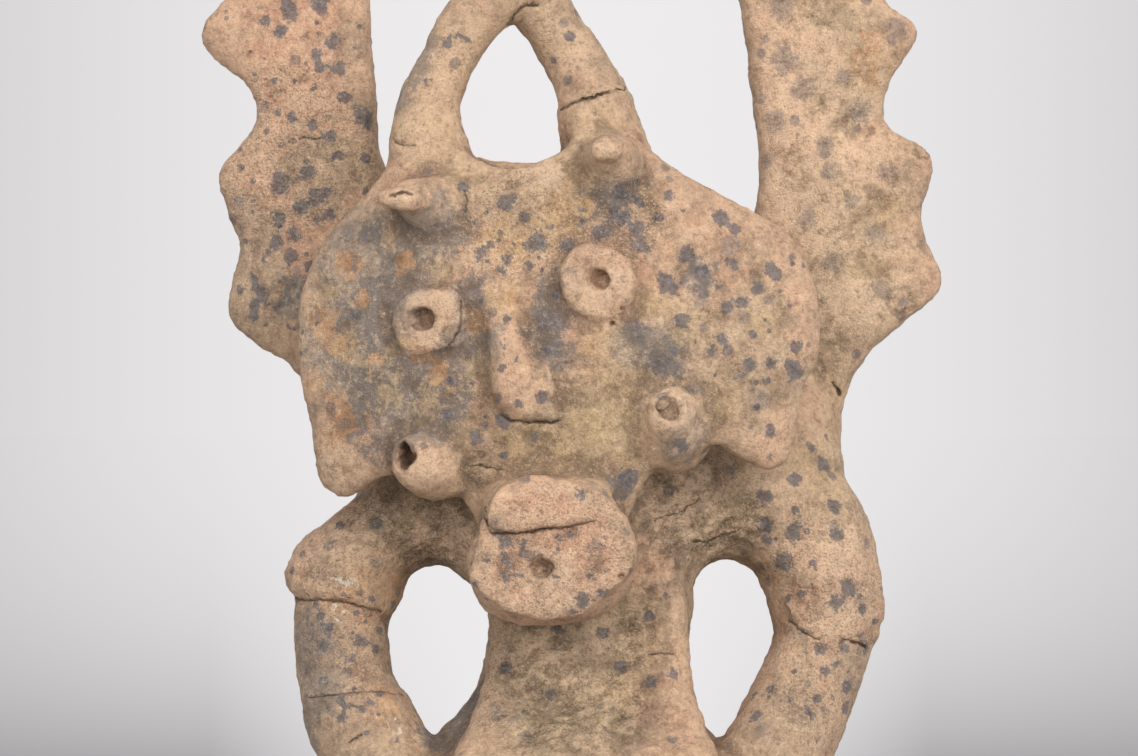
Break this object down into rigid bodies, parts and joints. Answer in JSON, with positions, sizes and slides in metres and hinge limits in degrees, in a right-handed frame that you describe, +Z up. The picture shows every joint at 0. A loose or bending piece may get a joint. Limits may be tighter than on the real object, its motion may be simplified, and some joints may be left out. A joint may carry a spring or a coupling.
{
  "type": "pottery incense burner",
  "caption": "Hand-built clay incense burner: a horned, winged figure with a broad face on a hollow bell-shaped stand, open beneath, with a smoke hole in its back.",
  "frame": {"origin": "centre of the foot ring, on the ground; the wings' tips stand equally far out on both sides", "axes": "+Z up, the figure's face towards -Y, its own left hand towards +X"},
  "size_m": [0.3, 0.2099, 0.5336],
  "materials": {
    "fired_clay": "matt, buff low-fired earthenware with orange wear, ochre stains, soil and blue-grey mineral spots"
  },
  "bodies": {
    "root": {"incense_burner": "fired_clay"}
  },
  "joints": []
}
